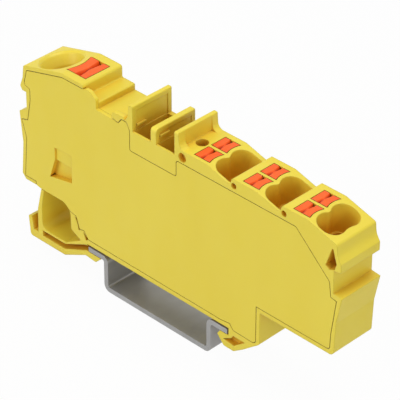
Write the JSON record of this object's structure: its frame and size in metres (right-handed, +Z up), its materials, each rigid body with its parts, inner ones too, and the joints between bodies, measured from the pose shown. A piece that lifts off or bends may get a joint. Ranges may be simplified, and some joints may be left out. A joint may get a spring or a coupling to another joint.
{
  "type": "power distribution block",
  "caption": "Narrow rail-mounted power distribution block with push-in clamps, push buttons and jumper slots, clipped on a short piece of rail.",
  "frame": {"origin": "centre of the rail's flat underside, at the middle of the block's width", "axes": "+X along the block towards the output end, +Y across it away from the side cover, +Z up"},
  "size_m": [0.0783, 0.0094, 0.0428],
  "materials": {
    "yellow_plastic": "moulded satin",
    "yellow_cover": "moulded satin",
    "rail_steel": "zinc plated",
    "copper": "tinned copper",
    "spring_steel": "spring steel",
    "orange_plastic": "moulded satin"
  },
  "bodies": {
    "block": {"housing": "yellow_plastic", "side_cover": "yellow_cover", "din_rail": "rail_steel", "busbar": "copper", "input_contact": "copper", "input_spring": "spring_steel", "output_contact_1": "copper", "output_contact_2": "copper", "output_contact_3": "copper", "output_spring_1": "spring_steel", "output_spring_2": "spring_steel", "output_spring_3": "spring_steel", "output_spring_4": "spring_steel", "output_spring_5": "spring_steel", "output_spring_6": "spring_steel"},
    "input_button": {"input_button": "orange_plastic"},
    "output_button_1": {"output_button_1": "orange_plastic"},
    "output_button_2": {"output_button_2": "orange_plastic"},
    "output_button_3": {"output_button_3": "orange_plastic"},
    "output_button_4": {"output_button_4": "orange_plastic"},
    "output_button_5": {"output_button_5": "orange_plastic"},
    "output_button_6": {"output_button_6": "orange_plastic"}
  },
  "joints": [
    {"name": "input_press", "type": "slide", "parent": "block", "child": "input_button", "axis": [0, 0, -1], "range_m": [0, 0.0026], "stiffness_N_per_m": 12000, "deforming": ["input_spring"]},
    {"name": "output_press_1", "type": "slide", "parent": "block", "child": "output_button_1", "axis": [0, 0, -1], "range_m": [0, 0.002], "stiffness_N_per_m": 8000, "deforming": ["output_spring_1"]},
    {"name": "output_press_2", "type": "slide", "parent": "block", "child": "output_button_2", "axis": [0, 0, -1], "range_m": [0, 0.002], "stiffness_N_per_m": 8000, "deforming": ["output_spring_2"]},
    {"name": "output_press_3", "type": "slide", "parent": "block", "child": "output_button_3", "axis": [0, 0, -1], "range_m": [0, 0.002], "stiffness_N_per_m": 8000, "deforming": ["output_spring_3"]},
    {"name": "output_press_4", "type": "slide", "parent": "block", "child": "output_button_4", "axis": [0, 0, -1], "range_m": [0, 0.002], "stiffness_N_per_m": 8000, "deforming": ["output_spring_4"]},
    {"name": "output_press_5", "type": "slide", "parent": "block", "child": "output_button_5", "axis": [0, 0, -1], "range_m": [0, 0.002], "stiffness_N_per_m": 8000, "deforming": ["output_spring_5"]},
    {"name": "output_press_6", "type": "slide", "parent": "block", "child": "output_button_6", "axis": [0, 0, -1], "range_m": [0, 0.002], "stiffness_N_per_m": 8000, "deforming": ["output_spring_6"]}
  ]
}
